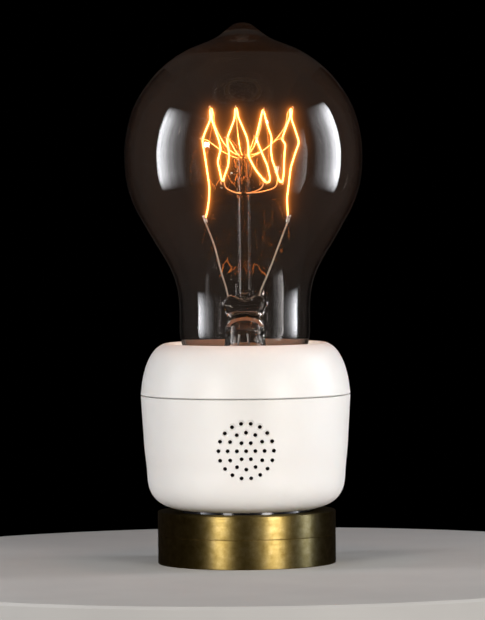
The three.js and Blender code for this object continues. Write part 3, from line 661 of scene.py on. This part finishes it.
# ----------------------------------------------------- lead wires and hooks
lead_l = [(-4.25, 0, 67.9), (-4.6, 0, 69.6), (-5.85, 0, 73.95), (-7.5, 0, 80.5), (-9.75, 0, 86.6)]
lead_r = [(3.8, 0, 67.9), (4.2, 0, 69.4), (6.1, 0, 73.9), (8.7, 0, 80.5), (11.1, 0, 86.6)]
piece(tube("lead_wire_left_drawn", lead_l, 0.21, 12, 8), "lead_wire", "bulb", "lead_wire_left", slot="steel")
piece(tube("lead_wire_right_drawn", lead_r, 0.21, 12, 8), "lead_wire", "bulb", "lead_wire_right", slot="steel")


def clamp(name, x, lean):
    line = rounded([(0.0, -0.95), (0.52, -0.95), (0.52, -0.25), (0.42, 0.0), (0.52, 0.25), (0.52, 0.95), (0.0, 0.95)], 0.1, 2)
    o = lathe(name, line, 24)
    for v in o.data.vertices:
        v.co.y *= 0.72
    o.data.transform(Matrix.Translation((x * MM, 0, 87.5 * MM)) @ Matrix.Rotation(lean, 4, "Y"))
    return o


piece(clamp("filament_clamp_left_crimped", -9.85, -0.28), "nickel", "bulb", "filament_clamp_left")
piece(clamp("filament_clamp_right_crimped", 11.25, 0.28), "nickel", "bulb", "filament_clamp_right")

PEAKS = [(-8.0, -9.7, 115.4), (-1.75, -12.5, 115.4), (5.05, -11.5, 114.8), (12.1, -3.5, 115.2)]
VALLEYS = [(-5.4, -9.4, 96.7), (5.5, -9.3, 96.6), (9.4, -5.4, 96.5)]
KINKS = [(-10.3, -7.2, 107.4), (-4.1, -13.6, 107.6), (3.2, -13.8, 107.9), (9.7, -10.4, 107.4)]


def outward(point, r, z):
    x, y, _ = point
    n = math.hypot(x, y)
    return (x / n * r, y / n * r, z)


def hook(point, hub_z, over, name):
    """A support wire from the arbor out to a filament loop, ending in a small open hook round it."""
    x, y, z = point
    r = math.hypot(x, y)
    s = 1 if over else -1
    path = [outward(point, 1.2, hub_z), outward(point, 2.4, hub_z), outward(point, 2.4 + (r - 2.4) * 0.4, hub_z + (z - hub_z) * 0.16),
            outward(point, r - 1.5, hub_z + (z - hub_z) * 0.62), outward(point, r - 0.75, z - s * 0.9),
            outward(point, r - 0.1, z - s * 0.55), outward(point, r + 0.5, z - s * 0.2), outward(point, r + 0.62, z + s * 0.25),
            outward(point, r + 0.3, z + s * 0.5)]
    return tube(name, path, 0.16, 8, 6)


def curl(point, hub_z, name):
    """A support wire that ends in a small eye round one leg of the filament."""
    x, y, z = point
    r = math.hypot(x, y)
    n = Vector((x / r, y / r, 0))
    t = Vector((-n.y, n.x, 0))
    c = Vector((x, y, z))
    path = [Vector(outward(point, 1.2, hub_z)), Vector(outward(point, 2.4, hub_z)),
            Vector(outward(point, 2.4 + (r - 2.4) * 0.35, hub_z + (z - hub_z) * 0.3)),
            Vector(outward(point, 2.4 + (r - 2.4) * 0.72, hub_z + (z - hub_z) * 0.8)), c - n * 1.3 - t * 0.1]
    for k in range(9):
        a = math.pi * 1.15 - 1.75 * math.pi * k / 8
        path.append(c + n * 0.55 * math.cos(a) + t * 0.55 * math.sin(a) + Vector((0, 0, 0.05 * k)))
    return tube(name, path, 0.16, 8, 4)


piece(joined("upper_support_hooks", [hook(q, 103.6, True, "h") for q in PEAKS]), "support_wire", "bulb", "upper_support_wires", slot="steel")
piece(joined("middle_support_eyes", [curl(q, 102.9, "h") for q in KINKS]), "support_wire", "bulb", "middle_support_wires", slot="steel")
piece(joined("lower_support_hooks", [hook(q, 93.9, False, "h") for q in VALLEYS]), "support_wire", "bulb", "lower_support_wires", slot="steel")


def bent(points, radius, steps=5):
    """A wire formed on pegs: straight runs with a small bend at each point."""
    pts = [Vector(p) for p in points]
    out = [pts[0]]
    for before, here, after in zip(pts, pts[1:], pts[2:]):
        r = min(radius, 0.45 * (before - here).length, 0.45 * (after - here).length)
        s, e = here + (before - here).normalized() * r, here + (after - here).normalized() * r
        out += [s * (1 - f) ** 2 + here * 2 * f * (1 - f) + e * f * f for f in (k / steps for k in range(steps + 1))]
    return out + [pts[-1]]


# The filament's run: along it, x and z in mm; its depth changes evenly from one support to the next.
RUN = [
    (-9.8, 87.6, 0.0), (-9.2, 89.6), (-8.75, 92.8), (-8.65, 95.6), (-9.2, 99.8), (-9.8, 104.1), (-10.3, 107.4, -7.2),
    (-9.3, 110.0), (-8.12, 112.6), (-8.32, 114.7), (-8.0, 115.4, -9.7), (-7.66, 114.7), (-7.9, 112.6),
    (-7.0, 109.9), (-6.0, 106.9), (-5.65, 105.1), (-6.5, 101.9), (-5.9, 99.2), (-5.45, 97.15), (-5.1, 97.15, -9.4),
    (-4.7, 98.6), (-3.8, 100.9), (-3.55, 104.0), (-4.1, 107.5, -13.6), (-3.2, 109.8), (-2.1, 112.6), (-1.98, 114.8), (-1.72, 115.4, -12.5),
    (-1.45, 114.7), (-1.2, 113.0), (0.0, 110.2), (0.95, 107.9), (1.3, 105.7), (1.25, 103.2), (3.0, 99.8), (5.2, 96.95),
    (5.8, 96.5, -9.3), (6.45, 96.75), (6.65, 97.7), (5.95, 100.9), (4.7, 103.8), (3.9, 105.8), (3.2, 107.8, -13.8),
    (4.05, 111.2), (4.75, 114.1), (5.02, 114.85, -11.5), (5.3, 114.1), (5.95, 111.3), (7.15, 107.9), (6.9, 104.9), (7.2, 102.3),
    (8.25, 99.3), (8.95, 97.0), (9.4, 96.5, -5.4), (9.85, 96.9), (10.15, 98.8), (10.2, 101.2), (10.35, 104.0), (10.6, 106.1),
    (9.65, 107.4, -10.4), (10.8, 110.4), (11.85, 113.0), (11.85, 114.7), (12.12, 115.2, -3.5), (12.4, 114.7), (12.1, 112.9),
    (13.4, 109.0), (14.15, 106.6), (13.2, 104.1), (11.95, 100.2), (11.5, 96.6), (10.95, 92.3), (11.2, 87.6, 0.0)]


def in_depth(run):
    held = [i for i, q in enumerate(run) if len(q) == 3]
    out = []
    for a, b in zip(held, held[1:]):
        length = [0.0]
        for i in range(a, b):
            length.append(length[-1] + math.hypot(run[i + 1][0] - run[i][0], run[i + 1][1] - run[i][1]))
        for i in range(a, b):
            f = length[i - a] / length[-1]
            out.append((run[i][0], run[a][2] * (1 - f) + run[b][2] * f, run[i][1]))
    return out + [(run[-1][0], run[-1][2], run[-1][1])]


piece(tube("filament_wire", bent(in_depth(RUN), 0.8), 0.21, 12, 0), "filament_metal", "bulb", "filament")

# ------------------------------------------------------------ stage, lights
floor_mat, nt, p = material("floor")
p.inputs["Roughness"].default_value = 0.75
nt.links.new(ramp(nt, noise(nt, mapped(nt, (1, 1, 1)), 40, 3), [(0.3, (0.50, 0.49, 0.475)), (0.7, (0.54, 0.53, 0.51))]), p.inputs["Base Color"])
floor = lathe("floor", [(0.0, 0.0), (110.0, 0.0), (112.0, -0.3), (112.6, -1.0), (112.6, -6.0), (0.0, -6.0)], 128)
floor.data.materials.append(floor_mat)
# it shows as pale; in polish and glass its colour is painted near-black, a painted shade standing in for a small table
# in a dark room
rays = nt.nodes.new("ShaderNodeLightPath")
seen = nt.nodes.new("ShaderNodeMath")
seen.operation = "GREATER_THAN"
seen.inputs[1].default_value = 0.5
nt.links.new(rays.outputs["Glossy Depth"], seen.inputs[0])
# painted shade: the floor's near-black look in reflections
painted_floor_shade = node(nt, "ShaderNodeBsdfDiffuse", Color=(0.035, 0.03, 0.026, 1))
either = nt.nodes.new("ShaderNodeMixShader")
nt.links.new(seen.outputs[0], either.inputs[0])
nt.links.new(p.outputs[0], either.inputs[1])
nt.links.new(painted_floor_shade.outputs[0], either.inputs[2])
nt.links.new(either.outputs[0], nt.nodes["Material Output"].inputs["Surface"])

# a black studio: only what is lit shows, and the glass picks up a little warm air light
world = bpy.data.worlds.new("world") if not bpy.data.worlds else bpy.data.worlds[0]
scene.world = world
world.use_nodes = True
wn = world.node_tree
back = wn.nodes["Background"]
back.inputs["Color"].default_value = (1.0, 0.86, 0.76, 1)
rays = wn.nodes.new("ShaderNodeLightPath")
level = wn.nodes.new("ShaderNodeMath")
level.operation = "MULTIPLY_ADD"
level.inputs[1].default_value = -0.012
level.inputs[2].default_value = 0.012
wn.links.new(rays.outputs["Is Camera Ray"], level.inputs[0])
wn.links.new(level.outputs[0], back.inputs["Strength"])


def softbox(name, azimuth, distance, z, width, height, watts, colour=(1, 1, 1), aim_z=None, fade=None, mirrored=True):
    """A soft light at an azimuth from the front, in degrees, left negative, aimed at the axis.
    fade is the light left at its near and far upright edges; without mirrored it shows in no polish or glass."""
    light = bpy.data.lights.new(name, "AREA")
    light.shape = "RECTANGLE"
    light.size, light.size_y = width * MM, height * MM
    light.energy = watts
    light.color = colour
    light.use_nodes = True
    nt = light.node_tree
    e = nt.nodes["Emission"]
    # looked at straight through both walls of the globe the box is dark; it shows only as a reflection
    rays = nt.nodes.new("ShaderNodeLightPath")
    bare = nt.nodes.new("ShaderNodeMath")
    bare.operation = "LESS_THAN"
    bare.inputs[1].default_value = 0.5
    nt.links.new(rays.outputs["Glossy Depth"], bare.inputs[0])
    through = nt.nodes.new("ShaderNodeMath")
    through.operation = "MULTIPLY"
    nt.links.new(bare.outputs[0], through.inputs[0])
    crossed = nt.nodes.new("ShaderNodeMath")
    crossed.operation = "GREATER_THAN"
    crossed.inputs[1].default_value = 2.5
    nt.links.new(rays.outputs["Transmission Depth"], crossed.inputs[0])
    nt.links.new(crossed.outputs[0], through.inputs[1])
    shown = nt.nodes.new("ShaderNodeMath")
    shown.operation = "SUBTRACT"
    shown.inputs[0].default_value = 1.0
    nt.links.new(through.outputs[0], shown.inputs[1])
    nt.links.new(shown.outputs[0], e.inputs["Strength"])
    if fade:
        g = nt.nodes.new("ShaderNodeNewGeometry")
        x = nt.nodes.new("ShaderNodeSeparateXYZ")
        nt.links.new(g.outputs["Parametric"], x.inputs[0])
        r = nt.nodes.new("ShaderNodeValToRGB")
        el = r.color_ramp.elements
        while len(el) < len(fade):
            el.new(0.5)
        for s, (at, v) in zip(el, fade):
            s.position, s.color = at, (v, v, v, 1)
        r.color_ramp.interpolation = "EASE"
        nt.links.new(x.outputs["X"], r.inputs["Fac"])
        ends = nt.nodes.new("ShaderNodeValToRGB")
        el = ends.color_ramp.elements
        for n in range(2):
            el.new(0.5)
        for s, (at, v) in zip(el, [(0.0, 0.0), (0.22, 1.0), (0.78, 1.0), (1.0, 0.0)]):
            s.position, s.color = at, (v, v, v, 1)
        nt.links.new(x.outputs["Y"], ends.inputs["Fac"])
        mul = nt.nodes.new("ShaderNodeMath")
        mul.operation = "MULTIPLY"
        nt.links.new(r.outputs["Color"], mul.inputs[0])
        nt.links.new(ends.outputs["Color"], mul.inputs[1])
        both = nt.nodes.new("ShaderNodeMath")
        both.operation = "MULTIPLY"
        nt.links.new(mul.outputs[0], both.inputs[0])
        nt.links.new(shown.outputs[0], both.inputs[1])
        nt.links.new(both.outputs[0], e.inputs["Strength"])
    o = bpy.data.objects.new(name, light)
    scene.collection.objects.link(o)
    a = math.radians(azimuth)
    here = Vector((math.sin(a) * distance, -math.cos(a) * distance, z)) * MM
    at = Vector((0, 0, (z if aim_z is None else aim_z) * MM))
    o.matrix_world = Matrix.Translation(here) @ (at - here).to_track_quat("-Z", "Y").to_matrix().to_4x4()
    o.visible_camera = False
    if not mirrored:
        o.visible_glossy = False
        o.visible_transmission = False
    return o


def leave_out(light, pieces):
    """This light passes these pieces by."""
    group = bpy.data.collections.new(light.name + "_lit")
    for o in pieces:
        group.objects.link(o)
    for c in group.collection_objects:
        c.light_linking.link_state = "EXCLUDE"
    light.light_linking.receiver_collection = group


def only(light, pieces):
    """This light falls on these pieces alone."""
    group = bpy.data.collections.new(light.name + "_lit")
    for o in pieces:
        group.objects.link(o)
    light.light_linking.receiver_collection = group


GLASS = [o for o in bpy.data.objects if o.type == "MESH" and o.data.materials and o.data.materials[0] in (MAT["clear_glass"], MAT["stem_glass"])]
FADE = [(0.0, 0.0), (0.3, 0.07), (0.52, 0.2), (0.78, 0.6), (1.0, 1.0)]
BRASS = [o for o in bpy.data.objects if o.name.startswith("brass_collar")]
SHELLS = [o for o in bpy.data.objects if o.type == "MESH" and o.data.materials and o.data.materials[0] == MAT["white_plastic"]]
left = softbox("box_left", -71, 270, 138, 170, 294, 2.0, (0.93, 0.95, 1), fade=[(1 - at, v) for at, v in reversed(FADE)])
right = softbox("box_right", 86, 270, 138, 175, 294, 2.2, (0.93, 0.95, 1), fade=FADE)
leave_out(left, BRASS + SHELLS)
only(softbox("shell_left", -71, 270, 138, 170, 294, 1.25, (0.93, 0.95, 1), fade=[(1 - at, v) for at, v in reversed(FADE)]), SHELLS)
leave_out(right, BRASS)
only(softbox("brass_right", 82, 500, 110, 80, 300, 0.55, (0.55, 0.66, 1.0)), BRASS)
softbox("key_a", -35, 620, 205, 50, 50, 0.5, (1, 0.98, 0.95), aim_z=100)
softbox("key_b", 12.6, 620, 235, 18, 18, 0.05, (1, 0.98, 0.95), aim_z=100)
softbox("key_c", 25.5, 620, 440, 24, 24, 0.08, (1, 0.98, 0.95), aim_z=100)
leave_out(softbox("fill_left", -34, 620, 120, 170, 360, 1.3, (1, 0.965, 0.93), aim_z=40), GLASS)
leave_out(softbox("fill_right", 36, 620, 120, 190, 360, 2.35, (1, 0.965, 0.93), aim_z=40), GLASS)


def lamp(name, watts, size):
    light = bpy.data.lights.new(name, "POINT")
    light.energy = watts
    light.color = (1.0, 0.32, 0.05)
    light.shadow_soft_size = size
    o = bpy.data.objects.new(name, light)
    scene.collection.objects.link(o)
    o.location = (0.0, -0.008, 0.106)
    o.visible_camera = False
    o.visible_glossy = False
    o.visible_transmission = False
    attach(o, "bulb")
    return o


# the filament's own light: strong on the wires beside it, faint on all the rest
INSIDE = [o for o in bpy.data.objects if o.type == "MESH" and o.data.materials and o.data.materials[0] in (
    MAT["support_wire"], MAT["lead_wire"], MAT["stem_glass"], MAT["clear_glass"])]
only(lamp("glow_inside", 0.12, 0.004), INSIDE)
leave_out(lamp("glow", 0.035, 0.008), INSIDE)

# flags: black cards that keep each box out of the far wall of the glass
flag_mat, nt, p = material("flag")
flag_cloth = noise(nt, mapped(nt, (1, 1, 1)), 300, 2)
nt.links.new(ramp(nt, flag_cloth, [(0.4, (0.0, 0.0, 0.0)), (0.6, (0.001, 0.001, 0.001))]), p.inputs["Base Color"])
p.inputs["Roughness"].default_value = 1.0
p.inputs["Specular IOR Level"].default_value = 0.0
for side in (-1, 1):
    mesh = bpy.data.meshes.new("flag")
    x = side * 41 * MM
    mesh.from_pydata([(x, 0.001, 0.048), (x, 0.08, 0.048), (x, 0.08, 0.15), (x, 0.001, 0.15)], [], [(0, 1, 2, 3)])
    flag = new_object("flag_left" if side < 0 else "flag_right", mesh)
    flag.data.materials.append(flag_mat)
    flag.visible_camera = False
    flag.visible_shadow = False
    flag.visible_diffuse = False

scene.view_settings.view_transform = "Standard"

# a lens blooms round a bright wire, and its colour runs from orange to white as it burns out
scene.use_nodes = True
ct = scene.node_tree
ct.nodes.clear()
layers = ct.nodes.new("CompositorNodeRLayers")
last = ct.nodes.new("CompositorNodeComposite")


def mixed(kind, share, one, two):
    n = ct.nodes.new("CompositorNodeMixRGB")
    n.blend_type = kind
    n.inputs[0].default_value = share
    for socket, value in ((n.inputs[1], one), (n.inputs[2], two)):
        if isinstance(value, tuple):
            socket.default_value = value
        else:
            ct.links.new(value, socket)
    return n.outputs["Image"]


over = mixed("SUBTRACT", 1.0, layers.outputs["Image"], (1.8, 1.8, 1.8, 1.0))
over = mixed("DARKEN", 1.0, mixed("LIGHTEN", 1.0, over, (0.0, 0.0, 0.0, 1.0)), (12.0, 12.0, 12.0, 1.0))
split = ct.nodes.new("CompositorNodeSeparateColor")
ct.links.new(over, split.inputs[0])
white = ct.nodes.new("CompositorNodeCombineColor")
for channel, share in (("Red", 0.0), ("Green", 0.12), ("Blue", 0.06)):
    m = ct.nodes.new("CompositorNodeMath")
    m.operation = "MULTIPLY"
    m.inputs[1].default_value = share
    ct.links.new(split.outputs["Red"], m.inputs[0])
    ct.links.new(m.outputs[0], white.inputs[channel])
total = mixed("ADD", 1.0, layers.outputs["Image"], white.outputs[0])
warm = ct.nodes.new("CompositorNodeCombineColor")
for channel, share in (("Red", 1.0), ("Green", 0.26), ("Blue", 0.03)):
    m = ct.nodes.new("CompositorNodeMath")
    m.operation = "MULTIPLY"
    m.inputs[1].default_value = share
    ct.links.new(split.outputs["Red"], m.inputs[0])
    ct.links.new(m.outputs[0], warm.inputs[channel])
for width, share in ((6, 0.36), (18, 0.24), (44, 0.05)):
    soft = ct.nodes.new("CompositorNodeBlur")
    soft.filter_type = "FAST_GAUSS"
    soft.size_x = soft.size_y = width
    ct.links.new(warm.outputs[0], soft.inputs["Image"])
    total = mixed("ADD", share, total, soft.outputs["Image"])
ct.links.new(total, last.inputs["Image"])
